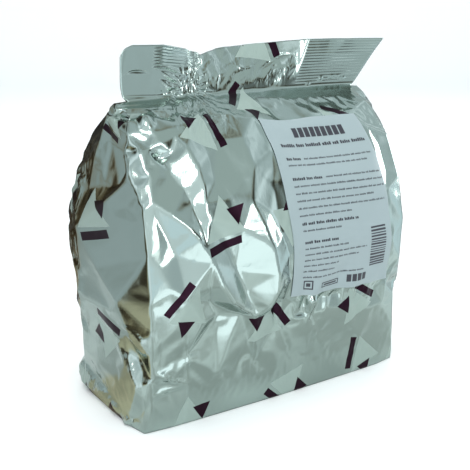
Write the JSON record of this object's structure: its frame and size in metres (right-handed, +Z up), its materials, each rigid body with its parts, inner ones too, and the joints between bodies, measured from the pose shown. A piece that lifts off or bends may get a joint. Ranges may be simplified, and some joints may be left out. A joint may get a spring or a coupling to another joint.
{
  "type": "cement bag",
  "caption": "Upright block-bottom bag of cement in silver metallised film, with gusseted sides, a crimped fin seal along the top and a printed label on its front.",
  "frame": {"origin": "middle of the bounding box's bottom face, on the floor under the bag", "axes": "+Z up, the labelled front faces -Y, +X to the right of someone who looks at the front"},
  "size_m": [0.2204, 0.1338, 0.2352],
  "materials": {
    "metallised_film": "bright metallised plastic film, creased, with plain dark and pale printed shapes",
    "printed_label": "satin pale blue-grey label with dark print"
  },
  "bodies": {
    "root": {"film_bag": "metallised_film", "label": "printed_label"}
  },
  "joints": []
}
